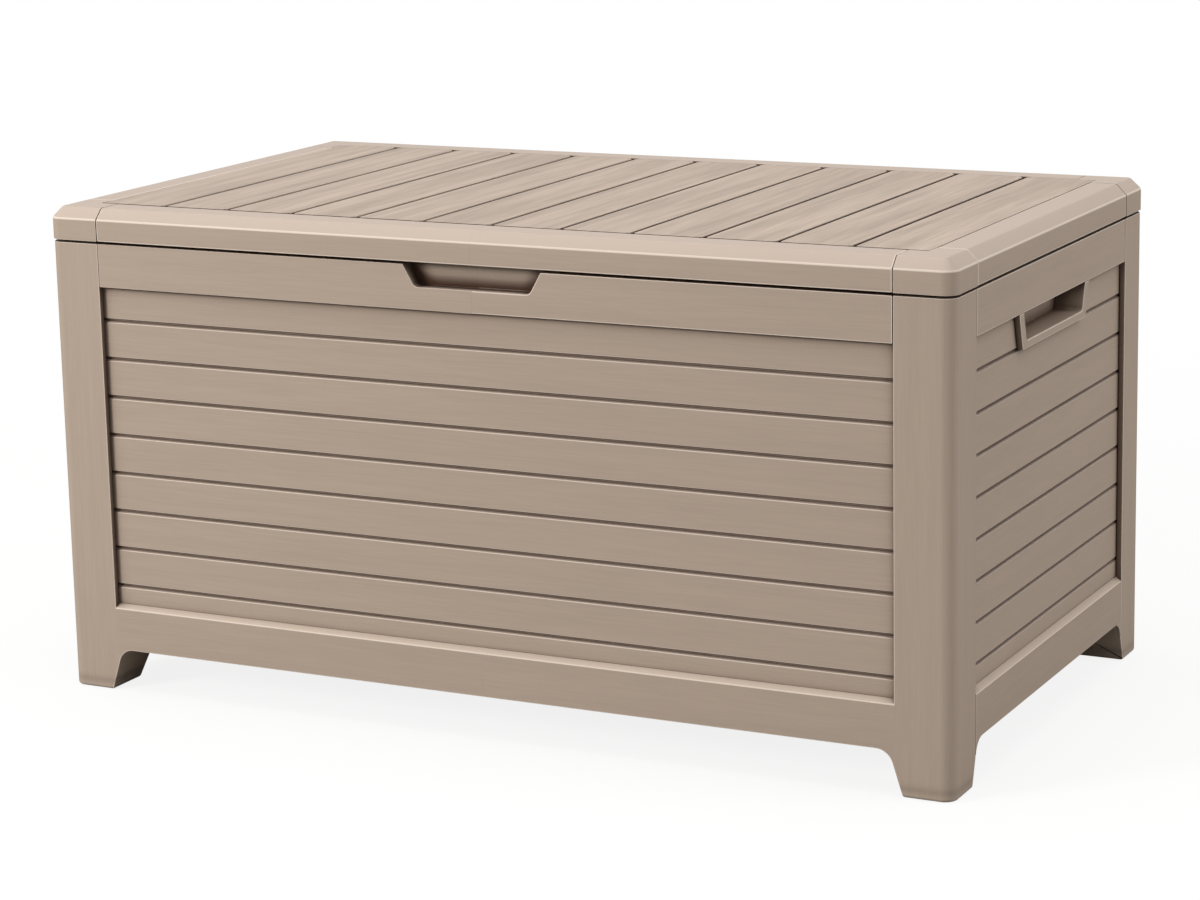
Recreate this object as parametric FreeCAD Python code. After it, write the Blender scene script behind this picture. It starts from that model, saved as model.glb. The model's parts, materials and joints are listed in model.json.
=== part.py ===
import FreeCAD, Part
import math
import os

V = FreeCAD.Vector

# Outdoor storage box with a hinged plank lid. Millimetres, +Z up, the front faces -Y.
# Sections are drawn as (distance in from the outer face, height), so a size is written once.

# Overall sizes of the body, measured over the posts.
box_width = 1240.0
box_depth = 700.0
body_height = 595.0
wall = 5.0
seam = 0.6

# Corner posts and feet.
post_width = 74.0
corner_radius = 17.0
foot_floor_width = 63.0
foot_top_width = 81.0
foot_reach = 99.0
foot_sweep = 22.0
foot_edge = 4.0
skirt_bottom = 56.0

# Base rail: its sloped ledge meets the slats, its flange carries the floor.
rail_top = 112.0
ledge_rise = 6.0
floor_level = 74.0
flange = 4.0
flange_reach = 32.0

# Slatted walls, held in channels of the posts, rails and headers.
slat_recess = 8.0
slat_thickness = 6.0
slat_pitch = 50.4
first_slat = 43.2
groove_height = 3.0
groove_depth = 3.5
slat_chamfer = 2.5
channel_depth = 10.0
channel_wall = 3.0
fit_gap = 0.3

# Header under the lid and the rim that it shares with the posts.
header_height = 56.0
rim = 4.0
rim_reach = 20.0
tongue_height = 34.0
lap_reach = 25.0
lap = 4.0

# Hand recess in the front header, below the lid.
hand_top_width = 190.0
hand_bottom_width = 158.0
hand_height = 28.0
hand_depth = 20.0
hand_radius = 9.0

# Lifting handles in both sides, hung below the side headers.
handle_top_width = 260.0
handle_bottom_width = 234.0
handle_height = 45.0
handle_rim = 16.0
handle_foot = 10.0
handle_depth = 38.0
cup_wall = 3.0

# Floor panels.
floor_thickness = 4.0
floor_rib = 3.0
floor_rib_drop = 13.0
floor_rib_pitch = 120.0

# Lid: border of caps and rails, chamfered all round, with the plank decks let in.
lid_proud = 1.0
lid_gap = 3.0
fascia_height = 28.0
lid_chamfer = 14.0
lid_softening = 1.5
lid_border = 50.0
ledge_drop = 10.0
ledge_reach = 12.0
ledge_thickness = 4.0
plank_count = 12
plank_groove = 5.0
plank_chamfer = 1.2
plank_front_gap = 3.0
plank_back_gap = 0.8
pit_width = 18.0
pit_length = 10.0
deck_base = 4.0
rest_rib_inset = 9.0
rest_rib_start = 22.0
rest_rib_end = 66.0
tube_size = 25.0
tube_wall = 1.5
tube_spacing = 300.0
deck_rib_drop = 12.0

# Hinges on the back.
hinge_offset = 8.0
hinge_spacing = 800.0
hinge_length = 70.0
knuckle_radius = 6.5
pin_radius = 3.0
pin_clearance = 0.05
pin_head = 4.6
pin_head_length = 2.0
knuckle_gap = 0.5
leaf = 3.0
leaf_start = 8.0
leaf_corner = 4.0
box_leaf_height = 40.0
lid_leaf_height = 19.0
screw_radius = 2.0
screw_length = 11.0
screw_head = 4.0
screw_head_height = 2.4
screw_head_chamfer = 0.8
screw_cross = (4.6, 1.0, 1.3)
screw_clearance = 0.1
screw_step = 24.0

# Gas struts: both ends lie on one circle about the hinge axis, so a strut turns half as far as the lid.
strut_circle = 250.0
strut_span_deg = 68.0
strut_lift = 5.5
lid_open_deg = 90.0
strut_inset = 32.0
cylinder_radius = 9.0
cylinder_bore = 7.5
rod_radius = 4.0
gland_length = 7.0
piston_length = 7.0
eye_radius = 8.0
eye_width = 10.0
eye_offset = 18.0
strut_pin_radius = 3.0
rod_end_room = 27.0
socket_width = 12.0
bracket = 3.0
bracket_width = 30.0
bracket_height = 44.0
ear_width = 28.0

# Places worked out from the sizes above.
half_width = box_width / 2
half_depth = box_depth / 2
slat_bottom = rail_top + ledge_rise
header_bottom = body_height - header_height
panel_bottom = slat_bottom - slat_recess
channel_bottom = panel_bottom - channel_wall
panel_top = header_bottom + slat_recess
slat_back = slat_recess + slat_thickness
channel_back = slat_back + fit_gap
channel_outer = channel_back + channel_wall
channel_end = post_width - channel_depth
lid_bottom = body_height + lid_gap
lid_top = lid_bottom + fascia_height + lid_chamfer
lid_half_width = half_width + lid_proud
lid_half_depth = half_depth + lid_proud
lid_corner_radius = corner_radius + lid_proud
deck_level = lid_top - ledge_drop
cap_width = post_width + lid_proud
hinge_y = half_depth + hinge_offset
hinge_z = body_height + lid_gap / 2
strut_x = half_width - strut_inset
frame_shift = (lid_proud - hinge_offset - knuckle_radius) / 2


def outline(corners, place):
    # Closed wire through 2-D corners (a, b) or (a, b, radius); place puts a corner in space.
    edges = []
    arcs = []
    count = len(corners)
    for i, corner in enumerate(corners):
        here = V(corner[0], corner[1], 0)
        radius = corner[2] if len(corner) > 2 else 0
        before = corners[i - 1]
        after = corners[(i + 1) % count]
        back = (V(before[0], before[1], 0) - here).normalize()
        ahead = (V(after[0], after[1], 0) - here).normalize()
        half_angle = back.getAngle(ahead) / 2
        if radius > 0:
            reach = radius / math.tan(half_angle)
            bisector = (back + ahead).normalize()
            middle = here + bisector * (radius / math.sin(half_angle) - radius)
            arcs.append((here + back * reach, middle, here + ahead * reach))
        else:
            arcs.append((here, None, here))
    for i, (start, middle, end) in enumerate(arcs):
        next_start = arcs[(i + 1) % count][0]
        if middle is not None:
            points = [place(p.x, p.y) for p in (start, middle, end)]
            edges.append(Part.Arc(*points).toShape())
        if (next_start - end).Length > 1e-6:
            edges.append(Part.LineSegment(place(end.x, end.y), place(next_start.x, next_start.y)).toShape())
    return Part.Wire(edges)


def swept(corners, place, travel):
    return Part.Face(outline(corners, place)).extrude(travel)


def block(x, y, z):
    # Box between pairs of coordinates.
    return Part.makeBox(x[1] - x[0], y[1] - y[0], z[1] - z[0], V(x[0], y[0], z[0]))


def front_run(section, x0, x1):
    # Section of the front wall, run across the width.
    return swept(section, lambda a, b: V(x0, a - half_depth, b), V(x1 - x0, 0, 0))


def left_run(section, y0, y1):
    # Section of the left wall, run along the depth.
    return swept(section, lambda a, b: V(a - half_width, y0, b), V(0, y1 - y0, 0))


def plan_block(corners, z0, z1):
    # Plan outline measured inwards from the front left corner.
    return swept(corners, lambda a, b: V(a - half_width, b - half_depth, z0), V(0, 0, z1 - z0))


def corner_block(u, v, z):
    # Box measured inwards from the left face (u) and from the front face (v).
    x = (u[0] - half_width, u[1] - half_width)
    y = (v[0] - half_depth, v[1] - half_depth)
    return block(x, y, z)


def flip_x(shape):
    return shape.mirror(V(0, 0, 0), V(1, 0, 0))


def flip_y(shape):
    return shape.mirror(V(0, 0, 0), V(0, 1, 0))


def rod_x(radius, x0, x1, y, z):
    return Part.makeCylinder(radius, x1 - x0, V(x0, y, z), V(1, 0, 0))


def joined(first, *others):
    return first.fuse(list(others)).removeSplitter()


def save(name, shape):
    # The origin is on the floor, under the middle of the whole object with its hinges.
    shape = shape.copy()
    shape.translate(V(0, frame_shift, 0))
    shape.exportStep("parts/" + name + ".step")


def foot_profile(inset, top):
    # Outline of a foot seen square to a wall: sloped inner side, then a sweep up to the rail.
    slope = (foot_top_width - foot_floor_width) / skirt_bottom
    shrink = inset * math.sqrt(1 + slope * slope)
    knee = skirt_bottom + inset
    return [
        (inset, inset),
        (foot_floor_width + slope * inset - shrink, inset),
        (foot_top_width + slope * inset - shrink, knee, foot_sweep - inset),
        (foot_reach - inset, knee),
        (foot_reach - inset, top),
        (inset, top),
    ]


def foot_form(inset, top):
    profile = foot_profile(inset, top)
    front_view = swept(profile, lambda a, b: V(a - half_width, inset - half_depth, b),
                       V(0, foot_reach, 0))
    side_view = swept(profile, lambda a, b: V(inset - half_width, a - half_depth, b),
                      V(foot_reach, 0, 0))
    plan = plan_block([
        (inset, inset, corner_radius - inset),
        (foot_reach, inset),
        (foot_reach, foot_reach),
        (inset, foot_reach),
    ], 0, top)
    return front_view.common(side_view).common(plan)


def foot():
    # Hollow foot with rounded bottom edges, open to the post above.
    solid = foot_form(0, floor_level)
    low_edges = [e for e in solid.Edges if e.BoundBox.ZMax < 0.01]
    solid = solid.makeFillet(foot_edge, low_edges)
    return solid.cut(foot_form(wall, floor_level + 1))


def post():
    # Angle section with a channel along each free edge for the slatted panels.
    leg_plan = [
        (0, 0, corner_radius),
        (post_width, 0),
        (post_width, wall),
        (wall, wall, corner_radius - wall),
        (wall, post_width),
        (0, post_width),
    ]
    channel_start = channel_end - channel_wall
    channelled_plan = [
        (0, 0, corner_radius),
        (post_width, 0),
        (post_width, slat_recess),
        (channel_end, slat_recess),
        (channel_end, channel_back),
        (post_width, channel_back),
        (post_width, channel_outer),
        (channel_start, channel_outer),
        (channel_start, wall),
        (wall, wall, corner_radius - wall),
        (wall, channel_start),
        (channel_outer, channel_start),
        (channel_outer, post_width),
        (channel_back, post_width),
        (channel_back, channel_end),
        (slat_recess, channel_end),
        (slat_recess, post_width),
        (0, post_width),
    ]
    rim_plan = [
        (0, 0, corner_radius),
        (post_width, 0),
        (post_width, rim_reach),
        (rim_reach, rim_reach),
        (rim_reach, post_width),
        (0, post_width),
    ]
    along = (channel_start, post_width)
    across = (0, channel_outer)
    level = (channel_bottom, panel_bottom)
    return joined(
        plan_block(leg_plan, skirt_bottom, channel_bottom),
        plan_block(channelled_plan, channel_bottom, body_height),
        plan_block(rim_plan, body_height - rim, body_height),
        corner_block(along, (wall, across[1]), level),
        corner_block((wall, across[1]), along, level),
    )


def rail_section():
    # Base rail: skin, sloped ledge and the channel that carries the panel's lower edge.
    return [
        (0, skirt_bottom),
        (0, rail_top),
        (slat_recess, slat_bottom),
        (slat_recess, panel_bottom),
        (channel_back, panel_bottom),
        (channel_back, slat_bottom),
        (channel_outer, slat_bottom),
        (channel_outer, channel_bottom),
        (wall, channel_bottom),
        (wall, skirt_bottom),
    ]


def flange_section():
    return [
        (wall, floor_level - flange),
        (flange_reach, floor_level - flange),
        (flange_reach, floor_level),
        (wall, floor_level),
    ]


def rail_lap():
    # Plate on the left half that reaches behind the right half of the rail.
    return block((-lap_reach, lap_reach), (wall - half_depth, wall + lap - half_depth),
                 (floor_level + lap, channel_bottom - lap))


def corner_moulding(with_lap):
    # Front left corner: post, foot and half of the front base rail.
    skirt_room = corner_block((-1, wall), (post_width, foot_reach + 1), (-1, floor_level + 1))
    shape = joined(
        post(),
        foot().cut(skirt_room),
        front_run(rail_section(), post_width - half_width, -seam / 2),
        front_run(flange_section(), foot_reach - half_width, -seam / 2),
    )
    if with_lap:
        shape = joined(shape, rail_lap())
    return shape


def side_skirt():
    # Left base rail between the posts, with the upper ends of the foot sweeps.
    end = half_depth - post_width - seam
    flange_end = half_depth - foot_reach - seam
    sweep = swept(foot_profile(0, skirt_bottom + 1), lambda a, b: V(-half_width, a - half_depth, b),
                  V(wall, 0, 0))
    corner = sweep.common(corner_block((0, wall), (post_width + seam, foot_reach), (0, skirt_bottom + 1)))
    tab = corner_block((wall, wall + lap), (post_width - channel_depth, post_width + channel_depth),
                       (floor_level + lap, channel_bottom - lap))
    return joined(
        left_run(rail_section(), -end, end),
        left_run(flange_section(), -flange_end, flange_end),
        corner,
        flip_y(corner),
        tab,
        flip_y(tab),
    )


def slat_section():
    # Comb outline: square lower edge on each slat, chamfered upper edge on the next one.
    deep = slat_recess + groove_depth
    points = [
        (slat_back, panel_bottom),
        (slat_back, panel_top - fit_gap),
        (slat_recess, panel_top - fit_gap),
    ]
    level = header_bottom - first_slat
    while level > slat_bottom + slat_pitch / 3:
        points += [
            (slat_recess, level + groove_height / 2),
            (deep, level + groove_height / 2),
            (deep, level - groove_height / 2),
            (slat_recess, level - groove_height / 2 - slat_chamfer),
        ]
        level -= slat_pitch
    points.append((slat_recess, panel_bottom))
    return points


def front_slats():
    end = half_width - channel_end - fit_gap
    return front_run(slat_section(), -end, end)


def side_slats():
    end = half_depth - channel_end - fit_gap
    panel = left_run(slat_section(), -end, end)
    hole = handle_outline(cup_wall + fit_gap, header_bottom + fit_gap)
    return panel.cut(handle_run(hole, 0, slat_back + 1))


def header_section():
    return [
        (0, header_bottom),
        (slat_recess, header_bottom),
        (slat_recess, panel_top),
        (channel_back, panel_top),
        (channel_back, header_bottom),
        (channel_outer, header_bottom),
        (channel_outer, panel_top + channel_wall),
        (wall, panel_top + channel_wall),
        (wall, body_height - rim),
        (rim_reach, body_height - rim),
        (rim_reach, body_height),
        (0, body_height),
    ]


def header_tongue(block_maker):
    # Tongue that slides into the post's channel above the slats.
    top = body_height - rim - channel_wall
    level = (top - tongue_height, top)
    root = (post_width + seam, post_width + channel_depth)
    reach = (channel_end + fit_gap, post_width + channel_depth)
    return block_maker(root, (wall, slat_back), level).fuse(
        block_maker(reach, (slat_recess, slat_back), level))


def hand_outline(grow, top):
    slope = (hand_top_width - hand_bottom_width) / 2 / hand_height
    bottom = body_height - hand_height - grow
    side = hand_bottom_width / 2 + grow
    top_side = side + slope * (top - bottom)
    return [
        (-side, bottom, hand_radius + grow),
        (side, bottom, hand_radius + grow),
        (top_side, top),
        (-top_side, top),
    ]


def hand_run(corners, v0, v1):
    return swept(corners, lambda a, b: V(a, v0 - half_depth, b), V(0, v1 - v0, 0))


def front_header(with_recess, with_lap):
    # Left half of a long header; the front one holds half of the hand recess.
    start = post_width + seam - half_width
    shape = joined(
        front_run(header_section(), start, -seam / 2),
        header_tongue(corner_block),
    )
    if with_recess:
        pocket = hand_run(hand_outline(rim, body_height), 0, hand_depth + rim)
        left_half = block((-hand_top_width, -seam / 2), (-half_depth, 0), (0, body_height))
        shape = joined(shape, pocket.common(left_half))
        shape = shape.cut(hand_run(hand_outline(0, body_height + 1), -1, hand_depth))
    if with_lap:
        low = panel_top + channel_wall + 1
        plate = block((-lap_reach, lap_reach), (wall - half_depth, wall + lap - half_depth),
                      (low, low + lap_reach / 3))
        shape = joined(shape, plate)
    return shape


def side_header():
    end = half_depth - post_width - seam
    tongue = header_tongue(lambda v, u, z: corner_block(u, v, z))
    return joined(left_run(header_section(), -end, end), tongue, flip_y(tongue))


def handle_outline(grow, top):
    # Finger opening seen from the side; it keeps the taper of the handle's rim.
    slope = (handle_top_width - handle_bottom_width) / 2 / handle_height
    bottom = header_bottom - handle_height + handle_foot - grow
    side = handle_bottom_width / 2 - handle_rim + slope * handle_foot + grow
    top_side = side + slope * (top - bottom)
    return [
        (-side, bottom, 2 * cup_wall + grow),
        (side, bottom, 2 * cup_wall + grow),
        (top_side, top),
        (-top_side, top),
    ]


def handle_run(corners, u0, u1):
    return swept(corners, lambda a, b: V(u0 - half_width, a, b), V(u1 - u0, 0, 0))


def side_handle():
    # Rim that stands proud of the slats and the closed cup behind it.
    low = header_bottom - handle_height
    rim_outline = [
        (-handle_bottom_width / 2, low, cup_wall),
        (handle_bottom_width / 2, low, cup_wall),
        (handle_top_width / 2, header_bottom),
        (-handle_top_width / 2, header_bottom),
    ]
    cup_depth = handle_depth + cup_wall
    frame = handle_run(rim_outline, 0, slat_recess).cut(
        handle_run(handle_outline(0, header_bottom + 1), -1, slat_recess + 1))
    cup = handle_run(handle_outline(cup_wall, header_bottom), 0, cup_depth).cut(
        handle_run(handle_outline(0, header_bottom - cup_wall), -1, handle_depth))
    front_part = handle_run(handle_outline(0, header_bottom + 1), -1, slat_recess)
    return joined(frame, cup.cut(front_part))


def floor_panel(with_lap):
    # Left floor panel on the flanges, ribbed underneath between the feet.
    edge = wall + fit_gap
    back = box_depth - edge
    plan = [
        (edge, edge, corner_radius - wall),
        (half_width - seam / 2, edge),
        (half_width - seam / 2, back),
        (edge, back, corner_radius - wall),
    ]
    shape = plan_block(plan, floor_level, floor_level + floor_thickness)
    level = (floor_level - floor_rib_drop, floor_level)
    clear = foot_reach + floor_rib
    rib_end = half_width - lap_reach - floor_rib
    ribs = []
    u = clear
    while u < rib_end:
        ribs.append(corner_block((u, u + floor_rib), (flange_reach + 1, box_depth - flange_reach - 1), level))
        u += floor_rib_pitch
    last = u - floor_rib_pitch
    v = clear
    while v < box_depth - clear:
        ribs.append(corner_block((clear, last + floor_rib), (v, v + floor_rib), level))
        v += floor_rib_pitch
    if with_lap:
        ribs.append(corner_block((half_width - lap_reach, half_width + lap_reach),
                                 (flange_reach + 1, box_depth - flange_reach - 1),
                                 (floor_level - flange, floor_level)))
    return joined(shape, *ribs)


def rounded_block(half_x, half_y, radius, z0, z1):
    corners = [
        (-half_x, -half_y, radius),
        (half_x, -half_y, radius),
        (half_x, half_y, radius),
        (-half_x, half_y, radius),
    ]
    return swept(corners, lambda a, b: V(a, b, z0), V(0, 0, z1 - z0))


def edges_at(shape, level):
    return [e for e in shape.Edges if abs(e.BoundBox.ZMin - level) < 0.01 and abs(e.BoundBox.ZMax - level) < 0.01]


def lid_ring():
    # Hollow border of the lid, whole, with the ledge that carries the plank decks.
    outer = rounded_block(lid_half_width, lid_half_depth, lid_corner_radius, lid_bottom, lid_top)
    outer = outer.makeChamfer(lid_chamfer, edges_at(outer, lid_top))
    soft_edges = edges_at(outer, lid_top) + edges_at(outer, lid_top - lid_chamfer)
    outer = outer.makeChamfer(lid_softening, soft_edges)
    inner = rounded_block(lid_half_width - wall, lid_half_depth - wall, lid_corner_radius - wall,
                          lid_bottom - 1, lid_top - wall)
    inner = inner.makeChamfer(lid_chamfer - wall * (2 - math.sqrt(2)), edges_at(inner, lid_top - wall))
    field_x = lid_half_width - lid_border
    field_y = lid_half_depth - lid_border
    high = lid_top + 1
    low = deck_level - ledge_thickness
    field = block((-field_x, field_x), (-field_y, field_y), (low - 1, high))
    step = block((-field_x - wall, field_x + wall), (-field_y - wall, field_y + wall), (low, lid_top - wall))
    ledge_x = field_x - ledge_reach
    ledge_y = field_y - ledge_reach
    ledge = block((-field_x, field_x), (-field_y, field_y), (low, deck_level)).cut(
        block((-ledge_x, ledge_x), (-ledge_y, ledge_y), (low - 1, high)))
    return joined(outer.cut(inner).cut(field), step.cut(field), ledge)


def rest_rib():
    # Rib under a corner cap that stands on the post's rim when the lid is shut.
    top = lid_bottom + fascia_height + lid_chamfer / 2 - 1
    thin = (rest_rib_inset, rest_rib_inset + flange)
    length = (rest_rib_start, rest_rib_end)
    level = (body_height, top)
    return corner_block(thin, length, level).fuse(corner_block(length, thin, level))


def lid_pieces():
    ring = lid_ring()
    far = 2 * box_width
    half = seam / 2
    x_seam = lid_half_width - cap_width
    y_seam = lid_half_depth - cap_width
    level = (0, far)
    cap = ring.common(block((-far, -x_seam - half), (-far, -y_seam - half), level))
    cap = joined(cap, rest_rib())
    front = ring.common(block((-x_seam + half, -half), (-far, -y_seam - half), level))
    front = joined(front, ring.common(block((-x_seam + half, -half), (-y_seam - half, 0), level)))
    side = ring.common(block((-far, -x_seam - half), (-y_seam + half, y_seam - half), level))
    return cap, front, side


def deck():
    # Left half of the plank field: six boards and the plate under them, in one moulding.
    field_x = lid_half_width - lid_border
    field_y = lid_half_depth - lid_border - half_seam_gap()
    pitch = 2 * field_x / plank_count
    top = lid_top
    base = deck_level + deck_base
    edge = half_seam_gap()
    points = [(-edge, deck_level), (-field_x + edge, deck_level)]
    for i in range(plank_count // 2):
        start = -field_x + i * pitch + (edge if i == 0 else plank_groove / 2)
        end = -field_x + (i + 1) * pitch - plank_groove / 2
        if i > 0:
            points.append((start, base))
        points += [
            (start, top - plank_chamfer),
            (start + plank_chamfer, top),
            (end - plank_chamfer, top),
            (end, top - plank_chamfer),
            (end, base),
        ]
    points.append((-edge, base))
    shape = swept(points, lambda a, b: V(a, -field_y, b), V(0, 2 * field_y, 0))
    level = (base, top + 1)
    border_y = lid_half_depth - lid_border
    shape = shape.cut(block((-field_x, 0), (-border_y, -border_y + plank_front_gap), level))
    shape = shape.cut(block((-field_x, 0), (border_y - plank_back_gap, border_y), level))
    return shape.cut(groove_pits(pitch, border_y, level))


def groove_pits(pitch, border_y, level):
    # Three-cornered pits at both ends of each groove, where the boards' corners are cut away.
    pits = []
    for i in range(plank_count // 2):
        x = -i * pitch
        for side in (-1, 1):
            corners = [
                (x - pit_width / 2, side * border_y),
                (x + pit_width / 2, side * border_y),
                (x, side * (border_y - pit_length)),
            ]
            pits.append(swept(corners, lambda a, b: V(a, b, level[0]), V(0, 0, level[1] - level[0])))
    return Part.makeCompound(pits)


def half_seam_gap():
    return seam / 2


def deck_ribs():
    # Ribs under the left deck, stopped short of the steel tubes.
    field_x = lid_half_width - lid_border
    pitch = 2 * field_x / plank_count
    level = (deck_level - deck_rib_drop, deck_level)
    inner_end = tube_spacing / 2 - tube_size / 2 - fit_gap
    outer_start = tube_spacing / 2 + tube_size / 2 + fit_gap
    outer_end = lid_half_depth - lid_border - ledge_reach - fit_gap
    ribs = []
    for i in range(1, plank_count // 2):
        x = (-field_x + i * pitch - floor_rib / 2, -field_x + i * pitch + floor_rib / 2)
        ribs.append(block(x, (-inner_end, inner_end), level))
        ribs.append(block(x, (outer_start, outer_end), level))
        ribs.append(block(x, (-outer_end, -outer_start), level))
    return ribs


def stiffener():
    # Square steel tube under both decks, near the front.
    end = lid_half_width - lid_border - ledge_reach - fit_gap
    y = -tube_spacing / 2
    r = tube_size / 2
    top = deck_level
    tube = block((-end, end), (y - r, y + r), (top - tube_size, top))
    hollow = block((-end - 1, end + 1), (y - r + tube_wall, y + r - tube_wall),
                   (top - tube_size + tube_wall, top - tube_wall))
    return tube.cut(hollow)


def screw(x, z, y_face):
    # Pan-head screw with a cross recess, driven forwards into the back of the box.
    head = Part.makeCylinder(screw_head, screw_head_height, V(x, y_face, z), V(0, 1, 0))
    head = head.makeChamfer(screw_head_chamfer, [head.Edges[0]])
    length, width, depth = screw_cross
    y = (y_face + screw_head_height - depth, y_face + screw_head_height + 1)
    head = head.cut(block((x - length / 2, x + length / 2), y, (z - width / 2, z + width / 2)))
    head = head.cut(block((x - width / 2, x + width / 2), y, (z - length / 2, z + length / 2)))
    shank = Part.makeCylinder(screw_radius, screw_length, V(x, y_face, z), V(0, -1, 0))
    return head.fuse(shank).removeSplitter()


def screw_places(centre):
    return [centre - screw_step, centre, centre + screw_step]


def hinge_segments(centre):
    # Knuckle spans along the pin: box, lid, box.
    third = (hinge_length - 2 * knuckle_gap) / 3
    start = centre - hinge_length / 2
    spans = []
    for i in range(3):
        low = start + i * (third + knuckle_gap)
        spans.append((low, low + third))
    return spans


def knuckle(span, y_face, direction):
    barrel = rod_x(knuckle_radius, span[0], span[1], hinge_y, hinge_z)
    z = sorted((hinge_z, hinge_z + direction * (leaf_start + 1)))
    arm = block(span, (y_face, y_face + leaf), z)
    return barrel.fuse(arm)


def hinge_leaf(centre, y_face, direction, height, owned):
    x = (centre - hinge_length / 2, centre + hinge_length / 2)
    near = hinge_z + direction * leaf_start
    far = near + direction * height
    plate = swept([
        (x[0], near),
        (x[1], near),
        (x[1], far, leaf_corner),
        (x[0], far, leaf_corner),
    ], lambda a, b: V(a, y_face, b), V(0, leaf, 0))
    shape = joined(plate, *[knuckle(span, y_face, direction) for span in owned])
    shape = shape.cut(rod_x(pin_radius + pin_clearance, x[0] - 1, x[1] + 1, hinge_y, hinge_z))
    for sx in screw_places(centre):
        hole = Part.makeCylinder(screw_radius + screw_clearance, 3 * leaf,
                                 V(sx, y_face + 2 * leaf, (near + far) / 2), V(0, -1, 0))
        shape = shape.cut(hole)
    return shape, (near + far) / 2


def hinge_pin(centre):
    end = hinge_length / 2
    shaft = rod_x(pin_radius, centre - end - knuckle_gap, centre + end + knuckle_gap, hinge_y, hinge_z)
    heads = [
        rod_x(pin_head, centre - end - knuckle_gap - pin_head_length, centre - end - knuckle_gap, hinge_y, hinge_z),
        rod_x(pin_head, centre + end + knuckle_gap, centre + end + knuckle_gap + pin_head_length, hinge_y, hinge_z),
    ]
    return joined(shaft, *heads)


def pilot_holes(shape, centre, z, y_face):
    for sx in screw_places(centre):
        hole = Part.makeCylinder(screw_radius + screw_clearance, screw_length + 1,
                                 V(sx, y_face + 1, z), V(0, -1, 0))
        shape = shape.cut(hole)
    return shape


def strut_points():
    # Ends of a strut in the side view, relative to the hinge axis, with the lid shut.
    lift = math.asin(strut_lift / strut_circle)
    lid_end = (-strut_circle * math.cos(lift), strut_lift)
    down = math.radians(strut_span_deg) - lift
    box_end = (-strut_circle * math.cos(down), -strut_circle * math.sin(down))
    return box_end, lid_end


def along_strut(shape):
    # Moves a shape drawn up the Z axis at x = 0 onto the left strut's line.
    box_end, lid_end = strut_points()
    lean = math.atan2(lid_end[0] - box_end[0], lid_end[1] - box_end[1])
    shape = shape.copy()
    shape.rotate(V(0, 0, 0), V(1, 0, 0), -math.degrees(lean))
    shape.translate(V(-strut_x, hinge_y + box_end[0], hinge_z + box_end[1]))
    return shape


def strut_lengths():
    span = math.radians(strut_span_deg)
    closed = 2 * strut_circle * math.sin(span / 2)
    opened = 2 * strut_circle * math.sin((span + math.radians(lid_open_deg)) / 2)
    return closed, opened - closed


def strut_cylinder():
    closed, stroke = strut_lengths()
    top = closed - rod_end_room
    tube = Part.makeCylinder(cylinder_radius, top - eye_offset, V(0, 0, eye_offset))
    tube = tube.cut(Part.makeCylinder(cylinder_bore, top - eye_offset - gland_length - wall,
                                      V(0, 0, eye_offset + wall)))
    tube = tube.cut(Part.makeCylinder(rod_radius + pin_clearance, gland_length + 2,
                                      V(0, 0, top - gland_length - 1)))
    neck = Part.makeCylinder(strut_pin_radius + 1, eye_offset)
    eye = rod_x(eye_radius, -eye_width / 2, eye_width / 2, 0, 0)
    shape = joined(tube, neck, eye)
    return along_strut(shape.cut(rod_x(strut_pin_radius + pin_clearance, -eye_width, eye_width, 0, 0)))


def strut_rod():
    closed, stroke = strut_lengths()
    start = eye_offset + wall + 1
    shaft = Part.makeCylinder(rod_radius, closed - start, V(0, 0, start))
    piston = Part.makeCylinder(cylinder_bore - pin_clearance, piston_length, V(0, 0, start))
    socket = rod_x(eye_radius, -socket_width / 2, socket_width / 2, 0, closed)
    return along_strut(joined(shaft, piston, socket))


def strut_box_bracket():
    # Plate on the inside of the side slats with the pin that the cylinder turns on.
    box_end, lid_end = strut_points()
    y = hinge_y + box_end[0]
    z = hinge_z + box_end[1]
    plate_x = slat_back - half_width
    inner_x = eye_width / 2 + bracket / 2 - strut_x
    plate = swept([
        (y - bracket_width / 2, z - bracket_height / 2, bracket),
        (y + bracket_width / 3, z - bracket_height / 2, bracket),
        (y + bracket_width / 3, z + bracket_height / 2, bracket),
        (y - bracket_width / 2, z + bracket_height / 2, bracket),
    ], lambda a, b: V(plate_x, a, b), V(bracket, 0, 0))
    pin = rod_x(strut_pin_radius, plate_x, inner_x, y, z)
    washer = rod_x(eye_radius - 1, plate_x, -strut_x - eye_width / 2 - fit_gap, y, z)
    head = rod_x(strut_pin_radius + 2, inner_x, inner_x + bracket / 2, y, z)
    return joined(plate, pin, washer, head)


def strut_lid_bracket():
    # Angle under the lid's ledge; its stud points at the rod's socket.
    box_end, lid_end = strut_points()
    y = hinge_y + lid_end[0]
    z = hinge_z + lid_end[1]
    top = deck_level - ledge_thickness
    ear_x = (lid_border - wall) - lid_half_width
    tab = block((ear_x, ear_x + wall + ledge_reach), (y - ear_width / 2, y + ear_width / 2), (top - bracket, top))
    ear = swept([
        (y - ear_width / 2, top),
        (y - ear_width / 2, z, 2 * bracket),
        (y - eye_radius, z - eye_radius - bracket, bracket),
        (y + eye_radius, z - eye_radius - bracket, bracket),
        (y + ear_width / 2, z, 2 * bracket),
        (y + ear_width / 2, top),
    ], lambda a, b: V(ear_x, a, b), V(bracket, 0, 0))
    stud = rod_x(strut_pin_radius, -strut_x + socket_width / 2 + fit_gap, ear_x + bracket, y, z)
    return joined(tab, ear, stud)


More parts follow.
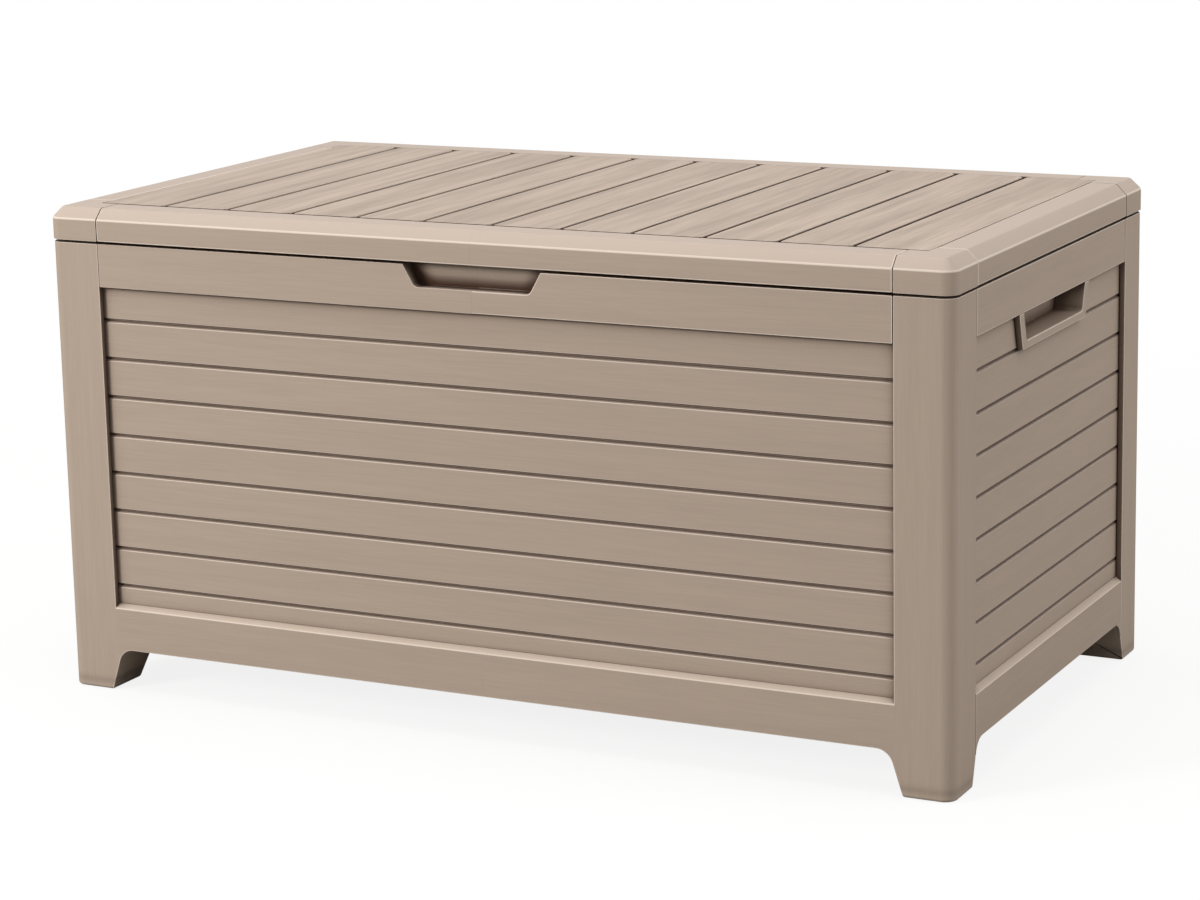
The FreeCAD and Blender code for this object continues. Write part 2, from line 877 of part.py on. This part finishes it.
def build_body():
    left = corner_moulding(True)
    right = flip_x(corner_moulding(False))
    save("front_corner_left", left)
    save("front_corner_right", right)
    save("back_corner_left", flip_y(left))
    save("back_corner_right", flip_y(right))
    slats = front_slats()
    save("front_slat_panel", slats)
    save("back_slat_panel", flip_y(slats))
    for name, part in (("slat_panel", side_slats()), ("side_header", side_header()),
                       ("side_skirt", side_skirt()), ("side_handle", side_handle())):
        label = name if name.startswith("side") else "side_" + name
        save(label + "_left", part)
        save(label + "_right", flip_x(part))
    save("front_header_left", front_header(True, True))
    save("front_header_right", flip_x(front_header(True, False)))
    back_left = flip_y(front_header(False, True))
    back_right = flip_y(flip_x(front_header(False, False)))
    hinge_x = hinge_spacing / 2
    screw_z = hinge_z - leaf_start - box_leaf_height / 2
    save("back_header_left", pilot_holes(back_left, -hinge_x, screw_z, half_depth))
    save("back_header_right", pilot_holes(back_right, hinge_x, screw_z, half_depth))
    save("floor_panel_left", floor_panel(True))
    save("floor_panel_right", flip_x(floor_panel(False)))


def build_lid():
    cap, front, side = lid_pieces()
    save("lid_cap_front_left", cap)
    save("lid_cap_front_right", flip_x(cap))
    save("lid_cap_back_left", flip_y(cap))
    save("lid_cap_back_right", flip_y(flip_x(cap)))
    save("lid_front_rail_left", front)
    save("lid_front_rail_right", flip_x(front))
    hinge_x = hinge_spacing / 2
    screw_z = hinge_z + leaf_start + lid_leaf_height / 2
    back = flip_y(front)
    save("lid_back_rail_left", pilot_holes(back, -hinge_x, screw_z, lid_half_depth))
    save("lid_back_rail_right", pilot_holes(flip_x(back), hinge_x, screw_z, lid_half_depth))
    save("lid_side_rail_left", side)
    save("lid_side_rail_right", flip_x(side))
    left_deck = joined(deck(), *deck_ribs())
    save("lid_deck_left", left_deck)
    save("lid_deck_right", flip_x(left_deck))
    save("lid_stiffener_front", stiffener())
    save("lid_stiffener_back", flip_y(stiffener()))


def build_hinges():
    box_screws = []
    lid_screws = []
    for side, centre in (("left", -hinge_spacing / 2), ("right", hinge_spacing / 2)):
        spans = hinge_segments(centre)
        box_leaf, box_z = hinge_leaf(centre, half_depth, -1, box_leaf_height, [spans[0], spans[2]])
        lid_leaf, lid_z = hinge_leaf(centre, lid_half_depth, 1, lid_leaf_height, [spans[1]])
        save("hinge_box_leaf_" + side, box_leaf)
        save("hinge_lid_leaf_" + side, lid_leaf)
        save("hinge_pin_" + side, hinge_pin(centre))
        box_screws += [screw(x, box_z, half_depth + leaf) for x in screw_places(centre)]
        lid_screws += [screw(x, lid_z, lid_half_depth + leaf) for x in screw_places(centre)]
    save("hinge_box_screws", Part.makeCompound(box_screws))
    save("hinge_lid_screws", Part.makeCompound(lid_screws))


def build_struts():
    for name, part in (("strut_cylinder", strut_cylinder()), ("strut_rod", strut_rod()),
                       ("strut_box_bracket", strut_box_bracket()), ("strut_lid_bracket", strut_lid_bracket())):
        save(name + "_left", part)
        save(name + "_right", flip_x(part))


os.makedirs("parts", exist_ok=True)
build_body()
build_lid()
build_hinges()
build_struts()
box_end, lid_end = strut_points()
closed, stroke = strut_lengths()
print("hinge axis y, z:", hinge_y + frame_shift, hinge_z)
print("strut pivot y, z:", hinge_y + box_end[0] + frame_shift, hinge_z + box_end[1], "x:", strut_x)
print("strut closed, stroke:", closed, stroke)
print("strut direction y, z:", (lid_end[0] - box_end[0]) / closed, (lid_end[1] - box_end[1]) / closed)
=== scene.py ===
import json
import math
import bpy
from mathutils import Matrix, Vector


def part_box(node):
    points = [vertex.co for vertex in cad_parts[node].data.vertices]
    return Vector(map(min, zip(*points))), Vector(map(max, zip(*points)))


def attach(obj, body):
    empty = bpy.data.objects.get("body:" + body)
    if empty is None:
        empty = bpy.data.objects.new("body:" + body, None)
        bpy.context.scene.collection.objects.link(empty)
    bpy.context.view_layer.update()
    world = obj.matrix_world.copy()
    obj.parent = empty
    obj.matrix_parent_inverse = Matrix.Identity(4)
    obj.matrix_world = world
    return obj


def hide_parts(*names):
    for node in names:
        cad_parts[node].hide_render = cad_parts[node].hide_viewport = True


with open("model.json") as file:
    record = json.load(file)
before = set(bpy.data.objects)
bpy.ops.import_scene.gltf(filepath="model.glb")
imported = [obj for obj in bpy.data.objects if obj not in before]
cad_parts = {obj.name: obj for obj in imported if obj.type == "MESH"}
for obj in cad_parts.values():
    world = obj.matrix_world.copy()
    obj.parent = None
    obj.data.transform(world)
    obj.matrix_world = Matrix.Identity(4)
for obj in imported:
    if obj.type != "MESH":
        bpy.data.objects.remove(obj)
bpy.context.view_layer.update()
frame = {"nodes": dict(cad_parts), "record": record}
record = frame["record"]
scene = bpy.context.scene
print("frame loaded:", len(frame["nodes"]), "nodes")


def linearColour(hexColour, gain=1.0):
    channels = [int(hexColour[i:i + 2], 16) / 255 for i in (0, 2, 4)]
    linear = [c / 12.92 if c <= 0.04045 else ((c + 0.055) / 1.055) ** 2.4 for c in channels]
    return [min(1.0, c * gain) for c in linear] + [1.0]


def addNode(material, kind, settings={}, links={}):
    # Adds one shader node, sets its fields and sockets, and links its inputs.
    tree = material.node_tree
    node = tree.nodes.new(kind)
    for field, value in settings.items():
        if isinstance(field, str) and hasattr(node, field):
            setattr(node, field, value)
        else:
            node.inputs[field].default_value = value
    for socket, source in links.items():
        tree.links.new(source, node.inputs[socket])
    return node


def newMaterial(name):
    material = bpy.data.materials.new(name)
    material.use_nodes = True
    material.node_tree.nodes.clear()
    return material


def finishMaterial(material, shader):
    addNode(material, "ShaderNodeOutputMaterial", {}, {"Surface": shader.outputs[0]})
    return material


# Moulded polypropylene: injection-moulded in a mould etched with wood grain. It is matt and slightly waxy;
# the eye sees fine brushed lines along each board and a few broad darker streaks.
grain = {
    "base": "B2A090",
    "lineWidth": 1.8,          # mm across the grain
    "lineLength": 70.0,        # mm along it
    "streakWidth": 15.0,
    "streakLength": 320.0,
    "noiseLow": 0.34,
    "noiseHigh": 0.66,
    "lineDetail": 5.0,
    "streakDetail": 3.0,
    "roughness": 0.5,
    "ior": 1.49,               # polypropylene
    "lineDepth": 0.1,          # mm
    "bumpStrength": 0.4,
    "postWidth": 0.074,        # m, where the frame's grain turns upright
}
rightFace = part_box("front_corner_right")[1][0]
# Painted shade: the colour turns towards dark brown where other faces are close, in seams, grooves, recesses
# and under overhangs.
paintedSeamShade = {"reach": 0.024, "samples": 10, "openLow": 0.5, "openHigh": 0.92, "colour": "42291A",
            "recessLow": 0.68, "grooveLow": 0.7, "arrisLow": 0.62, "nearFloor": 0.6}
# Painted top light: faces that look upwards are painted paler, as if lit from above.
paintedTopLight = {"slopeLow": 0.3, "slopeHigh": 0.65, "slats": "CBB9A9", "lid": "BCAB9D"}


def withPaintedSeamShade(material, colour, openLow=paintedSeamShade["openLow"]):
    # Returns the colour with painted shade, darkened where other faces are close. The floor under the feet
    # doesn't count.
    openness = addNode(material, "ShaderNodeAmbientOcclusion", {"samples": paintedSeamShade["samples"],
                                                                "Distance": paintedSeamShade["reach"]})
    place = addNode(material, "ShaderNodeSeparateXYZ", {},
                    {"Vector": addNode(material, "ShaderNodeTexCoord").outputs["Object"]})
    sole = addNode(material, "ShaderNodeMapRange",
                   {"From Min": paintedSeamShade["reach"], "From Max": 0.0, "To Min": paintedSeamShade["nearFloor"]},
                   {"Value": place.outputs["Z"]})
    seen = addNode(material, "ShaderNodeMath", {"operation": "MAXIMUM"},
                   {0: openness.outputs["AO"], 1: sole.outputs[0]})
    unshaded = addNode(material, "ShaderNodeMapRange",
                    {"From Min": openLow, "From Max": paintedSeamShade["openHigh"]}, {"Value": seen.outputs[0]})
    return addNode(material, "ShaderNodeMix", {"data_type": "RGBA", 6: linearColour(paintedSeamShade["colour"])},
                   {0: unshaded.outputs[0], 7: colour}).outputs[2]


def withPaintedTopLight(material, colour, topLightColour):
    # Returns the colour with painted top light: paler where a face looks upwards.
    facing = addNode(material, "ShaderNodeSeparateXYZ", {},
                     {"Vector": addNode(material, "ShaderNodeTexCoord").outputs["Normal"]})
    topLitShare = addNode(material, "ShaderNodeMapRange",
                     {"From Min": paintedTopLight["slopeLow"], "From Max": paintedTopLight["slopeHigh"]},
                     {"Value": facing.outputs["Z"]})
    return addNode(material, "ShaderNodeMix", {"data_type": "RGBA", 7: linearColour(topLightColour)},
                   {0: topLitShare.outputs[0], 6: colour}).outputs[2]


def grainMaterial(name, direction, contrast, streakShare, topLightColour=paintedTopLight["slats"],
                  openLow=paintedSeamShade["openLow"]):
    # direction: the axis that the grain follows, or "frame" for posts up and rails across.
    material = newMaterial(name)
    place = addNode(material, "ShaderNodeTexCoord").outputs["Object"]

    def stretchedNoise(axis, across, along, detail):
        scale = [1000 / (along if letter == axis else across) for letter in "xyz"]
        mapping = addNode(material, "ShaderNodeMapping", {"Scale": scale}, {"Vector": place})
        noise = addNode(material, "ShaderNodeTexNoise", {"Scale": 1.0, "Detail": detail},
                        {"Vector": mapping.outputs[0]})
        return addNode(material, "ShaderNodeMapRange",
                       {"From Min": grain["noiseLow"], "From Max": grain["noiseHigh"]},
                       {"Value": noise.outputs["Fac"]}).outputs[0]

    def grainNoise(across, along, detail):
        if direction != "frame":
            return stretchedNoise(direction, across, along, detail)
        split = addNode(material, "ShaderNodeSeparateXYZ", {}, {"Vector": place})
        fromMiddle = addNode(material, "ShaderNodeMath", {"operation": "ABSOLUTE"}, {0: split.outputs["X"]})
        onPost = addNode(material, "ShaderNodeMath",
                         {"operation": "GREATER_THAN", 1: rightFace - grain["postWidth"]},
                         {0: fromMiddle.outputs[0]})
        return addNode(material, "ShaderNodeMix", {"data_type": "FLOAT"},
                       {0: onPost.outputs[0], 2: stretchedNoise("x", across, along, detail),
                        3: stretchedNoise("z", across, along, detail)}).outputs[0]

    lines = grainNoise(grain["lineWidth"], grain["lineLength"], grain["lineDetail"])
    streaks = grainNoise(grain["streakWidth"], grain["streakLength"], grain["streakDetail"])
    pattern = addNode(material, "ShaderNodeMix", {"data_type": "FLOAT", 0: streakShare},
                      {2: lines, 3: streaks})
    colour = addNode(material, "ShaderNodeMix",
                     {"data_type": "RGBA", 6: linearColour(grain["base"], 1 - contrast),
                      7: linearColour(grain["base"], 1 + contrast)}, {0: pattern.outputs[0]}).outputs[2]
    # Painted top light: upward-facing faces are painted paler.
    if topLightColour:
        colour = withPaintedTopLight(material, colour, topLightColour)
    bump = addNode(material, "ShaderNodeBump",
                   {"Strength": grain["bumpStrength"], "Distance": grain["lineDepth"] / 1000},
                   {"Height": lines})
    # The base colour carries the painted seam shade.
    shader = addNode(material, "ShaderNodeBsdfPrincipled",
                     {"Roughness": grain["roughness"], "IOR": grain["ior"]},
                     {"Base Color": withPaintedSeamShade(material, colour, openLow), "Normal": bump.outputs[0]})
    return finishMaterial(material, shader)


# Surfaces without grain: small soft spots in the colour, and the same spots as fine grit.
plainLook = {"spotDetail": 3.0, "bumpStrength": 0.25}


def plainMaterial(name, hexColour, roughness, metallic=0.0, grit=0.0, speckle=1.2, variation=0.05,
                  openLow=paintedSeamShade["openLow"]):
    # speckle: mm between spots; grit: mm of surface depth.
    material = newMaterial(name)
    coords = addNode(material, "ShaderNodeTexCoord")
    noise = addNode(material, "ShaderNodeTexNoise",
                    {"Scale": 1000 / speckle, "Detail": plainLook["spotDetail"]},
                    {"Vector": coords.outputs["Object"]})
    colour = addNode(material, "ShaderNodeMix",
                     {"data_type": "RGBA", 6: linearColour(hexColour, 1 - variation),
                      7: linearColour(hexColour, 1 + variation)}, {0: noise.outputs["Fac"]})
    bump = addNode(material, "ShaderNodeBump",
                   {"Strength": plainLook["bumpStrength"], "Distance": grit / 1000},
                   {"Height": noise.outputs["Fac"]})
    # Non-metal finishes carry the painted seam shade.
    seen = colour.outputs[2] if metallic else withPaintedSeamShade(material, colour.outputs[2], openLow)
    shader = addNode(material, "ShaderNodeBsdfPrincipled", {"Roughness": roughness, "Metallic": metallic},
                     {"Base Color": seen, "Normal": bump.outputs[0]})
    return finishMaterial(material, shader)


materials = {
    "frame": grainMaterial("moulded polypropylene, posts and rails", "frame", 0.05, 0.4),
    "boardsAcross": grainMaterial("moulded polypropylene, front slats", "x", 0.05, 0.4),
    # The headers take a stronger painted shade, which darkens the hand recess.
    "header": grainMaterial("moulded polypropylene, long headers", "x", 0.05, 0.4,
                            openLow=paintedSeamShade["recessLow"]),
    "boardsDeep": grainMaterial("moulded polypropylene, side slats", "y", 0.05, 0.4),
    # The lid rails take a softer painted top light.
    "lidAcross": grainMaterial("moulded polypropylene, long lid rails", "x", 0.04, 0.3, paintedTopLight["lid"]),
    "lidDeep": grainMaterial("moulded polypropylene, short lid rails", "y", 0.04, 0.3, paintedTopLight["lid"]),
    # The planks take a stronger painted shade in their grooves and no painted top light.
    "planks": grainMaterial("moulded polypropylene, lid planks", "y", 0.24, 0.55, None,
                            paintedSeamShade["grooveLow"]),
    # Smooth moulded polypropylene: same mix, polished mould, so no lines and a softer sheen.
    "handle_resin": plainMaterial("smooth moulded polypropylene", grain["base"], 0.5, grit=0.05,
                                  variation=0.02),
    "floor_resin": plainMaterial("plain moulded polypropylene", "AC9988", 0.55, grit=0.08, variation=0.03),
    # The same mix, painted paler on the thin bevel strips: a painted highlight along each arris.
    "arris": plainMaterial("burnished polypropylene arris", "DECEBF", 0.4, grit=0.01, variation=0.02,
                           openLow=paintedSeamShade["arrisLow"]),
    # Powder coating: baked resin powder on sheet steel, a fine dull orange peel.
    "hinge_steel": plainMaterial("powder-coated sheet steel", "4A4039", 0.5, grit=0.06),
    # Zinc plating: a thin bright grey layer, dulled to soft patches.
    "zinc_steel": plainMaterial("zinc-plated steel", "D2D4D3", 0.32, 1.0, grit=0.02),
    # Hot-dip galvanising: a thicker zinc layer that sets in pale spangles.
    "galvanised_tube": plainMaterial("galvanised steel tube", "C9CCCD", 0.42, 1.0, grit=0.03, speckle=6.0,
                                     variation=0.12),
    "bracket_steel": plainMaterial("zinc-plated pressed steel", "CFD1D0", 0.36, 1.0, grit=0.02),
    # Stoved lacquer: smooth satin black on a drawn tube.
    "strut_black": plainMaterial("satin black lacquer", "17181A", 0.3, grit=0.01),
    # Hard chrome: ground and plated, nearly a mirror.
    "rod_steel": plainMaterial("hard chrome plating", "C4C6C8", 0.12, 1.0, grit=0.002),
}
slots = {part["node"]: part["material_slot"] for part in record["subparts"]}
print("materials made:", len(materials))


def materialFor(node):
    slotName = slots[node]
    deep = node.startswith(("side_", "lid_side"))
    if slotName == "lid_planks":
        return materials["planks"]
    if slotName == "lid_trim":
        return materials["lidDeep" if deep else "lidAcross"]
    if "corner" in node:
        return materials["frame"]
    if "header" in node and not deep:
        return materials["header"]
    if slotName in ("frame_resin", "wall_slats"):
        return materials["boardsDeep" if deep else "boardsAcross"]
    return materials[slotName]


for node, obj in frame["nodes"].items():
    if not obj.material_slots:
        obj.data.materials.append(materialFor(node))
    for slot in obj.material_slots:
        slot.material = materialFor(node)
print("materials assigned")

# Softened mouldings: the seen pieces again with the small rounded edges that a mould leaves, in metres.
softening = {
    "corner": 0.0014,
    "slat_panel": 0.0007,
    "header": 0.0014,
    "side_skirt": 0.0012,
    "side_handle": 0.0012,
    "lid_cap": 0.0018,
    "rail": 0.0018,
    "lid_deck": 0.0009,
}
softLook = {"segments": 2, "sharpAngle": 25.0, "flatAngle": 0.6, "weld": 0.00002, "smoothAngle": 32.0,
            "middleSeam": 0.001, "hairline": 0.00003,   # the halves meet here closely, with sharp edges
            "stripWidth": 0.0031, "stripLow": 0.15, "stripHigh": 0.6,   # the lid's own narrow chamfers
            "arrisSlot": 1}


def softWidth(node):
    return next((width for part, width in softening.items() if part in node), 0.0)


def paintNarrowChamfers(mesh):
    # The narrow chamfer along the lid's outer edge gets the arris's painted highlight too.
    for face in mesh.polygons:
        around = sum((mesh.vertices[a].co - mesh.vertices[b].co).length for a, b in face.edge_keys)
        narrow = 2 * face.area / around < softLook["stripWidth"]
        if narrow and softLook["stripLow"] < face.normal.z < softLook["stripHigh"]:
            face.material_index = softLook["arrisSlot"]


def softenedCopy(node, width):
    source = frame["nodes"][node]
    words = node.split("_")
    piece = source.copy()
    piece.data = source.data.copy()
    piece.name = words[0] + "".join(word.capitalize() for word in words[1:])
    scene.collection.objects.link(piece)
    bpy.ops.object.select_all(action="DESELECT")
    piece.select_set(True)
    bpy.context.view_layer.objects.active = piece
    bpy.ops.mesh.customdata_custom_splitnormals_clear()
    bpy.ops.object.mode_set(mode="EDIT")
    bpy.ops.mesh.select_all(action="SELECT")
    bpy.ops.mesh.remove_doubles(threshold=softLook["weld"])
    bpy.ops.mesh.dissolve_limited(angle_limit=math.radians(softLook["flatAngle"]))
    bpy.ops.mesh.select_mode(type="EDGE")
    bpy.ops.mesh.select_all(action="DESELECT")
    bpy.ops.mesh.edges_select_sharp(sharpness=math.radians(softLook["sharpAngle"]))
    bpy.ops.transform.edge_bevelweight(value=1.0)
    bpy.ops.object.mode_set(mode="OBJECT")
    seamCorners = {v.index for v in piece.data.vertices if abs(v.co.x) < softLook["middleSeam"]}
    for edge in piece.data.edges:
        if seamCorners.issuperset(edge.vertices):
            piece.data.attributes["bevel_weight_edge"].data[edge.index].value = 0.0
    for index in seamCorners:
        place = piece.data.vertices[index].co
        place.x = math.copysign(softLook["hairline"], place.x)
    bevel = piece.modifiers.new("softEdges", "BEVEL")
    bevel.width = width
    bevel.segments = softLook["segments"]
    bevel.limit_method = "WEIGHT"
    # The bevel strips take the arris material: a painted highlight along each edge.
    piece.data.materials.append(materials["arris"])
    bevel.material = softLook["arrisSlot"]
    bpy.ops.object.modifier_apply(modifier=bevel.name)
    bpy.ops.object.shade_smooth_by_angle(angle=math.radians(softLook["smoothAngle"]))
    flats = piece.modifiers.new("flatFaces", "WEIGHTED_NORMAL")
    flats.keep_sharp = True
    bpy.ops.object.modifier_apply(modifier=flats.name)
    if node.startswith("lid_"):
        paintNarrowChamfers(piece.data)
    return piece


bodyOf = {node: body for body, nodes in record["behaviour"]["bodies"].items() for node in nodes}
softCount = 0
for node in sorted(frame["nodes"]):
    width = softWidth(node)
    if width == 0:
        continue
    piece = softenedCopy(node, width)
    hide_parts(node)
    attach(piece, bodyOf[node])
    softCount += len(piece.data.polygons)
print("softened mouldings:", softCount, "faces")

# Floor: matt white studio paper. Camera rays see it nearly white, and a part of the real shading stays,
# so the object keeps its shadow. It throws back less light than it shows, as paper far from the walls does.
floorLook = {"radius": 14.0, "seenColour": "F6F5F3", "bounceColour": "969490", "glow": 0.86,
             "fadeStart": 1.0, "fadeEnd": 2.6, "sides": 96, "height": -0.0005}   # metres, just under the feet


def makeFloor():
    bpy.ops.object.select_all(action="DESELECT")
    bpy.ops.mesh.primitive_circle_add(vertices=floorLook["sides"], radius=floorLook["radius"],
                                      fill_type="NGON", location=(0, 0, floorLook["height"]))
    floor = bpy.context.object
    floor.name = "studioFloor"
    material = newMaterial("matt white studio paper")
    coords = addNode(material, "ShaderNodeTexCoord")
    distance = addNode(material, "ShaderNodeVectorMath", {"operation": "LENGTH"},
                       {0: coords.outputs["Object"]})
    fade = addNode(material, "ShaderNodeMapRange",
                   {"From Min": floorLook["fadeStart"], "From Max": floorLook["fadeEnd"],
                    "To Min": floorLook["glow"], "To Max": 1.0},
                   {"Value": distance.outputs["Value"]})
    path = addNode(material, "ShaderNodeLightPath")
    seen = addNode(material, "ShaderNodeMath", {"operation": "MULTIPLY"},
                   {0: path.outputs["Is Camera Ray"], 1: fade.outputs[0]})
    paperColour = addNode(material, "ShaderNodeMix",
                          {"data_type": "RGBA", 6: linearColour(floorLook["bounceColour"]),
                           7: linearColour(floorLook["seenColour"])}, {0: path.outputs["Is Camera Ray"]})
    paper = addNode(material, "ShaderNodeBsdfDiffuse", {}, {"Color": paperColour.outputs[2]})
    glow = addNode(material, "ShaderNodeEmission", {"Color": (1, 1, 1, 1), "Strength": 1.0})
    mix = addNode(material, "ShaderNodeMixShader", {},
                  {0: seen.outputs[0], 1: paper.outputs[0], 2: glow.outputs[0]})
    finishMaterial(material, mix)
    floor.data.materials.append(material)


makeFloor()

# Lights: a key from the front left, a soft one above and one on the right, under a white dome that is
# brightest overhead and that the lid mirrors a little.
lights = {
    "key": {"location": (-3.4, -4.7, 2.5), "size": 1.4, "watts": 234.0},
    "top": {"location": (0.0, -0.4, 4.4), "size": 2.4, "watts": 64.0},
    "side": {"location": (4.6, 0.9, 1.5), "size": 1.6, "watts": 62.0},
}
surround = {"horizon": 0.12, "zenith": 0.82, "mirrorShare": 0.45, "aim": (0, 0, 0.35)}


def makeLights():
    for name, values in lights.items():
        bpy.ops.object.light_add(type="AREA", location=values["location"])
        lamp = bpy.context.object
        lamp.name = name + "Light"
        lamp.data.energy = values["watts"]
        lamp.data.size = values["size"]
        lamp.visible_glossy = False   # the resin is too dull to mirror a lamp; it shows the white surround
        direction = Vector(surround["aim"]) - lamp.location
        lamp.rotation_euler = direction.to_track_quat("-Z", "Y").to_euler()
    world = bpy.data.worlds.new("studio surround")
    scene.world = world
    world.use_nodes = True
    world.node_tree.nodes.clear()
    path = addNode(world, "ShaderNodeLightPath")
    mirrored = addNode(world, "ShaderNodeMath", {"operation": "MULTIPLY_ADD", 1: surround["mirrorShare"]},
                       {0: path.outputs["Is Glossy Ray"], 2: path.outputs["Is Camera Ray"]})
    heading = addNode(world, "ShaderNodeSeparateXYZ", {},
                      {"Vector": addNode(world, "ShaderNodeTexCoord").outputs["Generated"]})
    brightness = addNode(world, "ShaderNodeMapRange",
                         {"To Min": surround["horizon"], "To Max": surround["zenith"]},
                         {"Value": heading.outputs["Z"]})
    sky = addNode(world, "ShaderNodeBackground", {"Color": (1, 1, 1, 1)}, {"Strength": brightness.outputs[0]})
    white = addNode(world, "ShaderNodeBackground", {"Color": (1, 1, 1, 1), "Strength": 1.0})
    mix = addNode(world, "ShaderNodeMixShader", {},
                  {0: mirrored.outputs[0], 1: sky.outputs[0], 2: white.outputs[0]})
    addNode(world, "ShaderNodeOutputWorld", {}, {"Surface": mix.outputs[0]})


makeLights()
print("lights made")

# Camera at the photograph's viewing angle, found by fitting the seams and grooves.
camera = {
    "location": (1.89176, -3.74756, 1.24691),
    "rotation": (78.2714, 1.1744, 26.6509),
    "lens": 97.757,
    "shiftY": -0.05,
    "sensorWidth": 36,
}


def makeCamera():
    bpy.ops.object.camera_add(location=camera["location"],
                              rotation=[math.radians(angle) for angle in camera["rotation"]])
    lens = bpy.context.object
    lens.name = "photoCamera"
    lens.data.sensor_width = camera["sensorWidth"]
    lens.data.lens = camera["lens"]
    lens.data.shift_y = camera["shiftY"]
    scene.camera = lens


makeCamera()
scene.view_settings.view_transform = "Standard"
print("camera set")
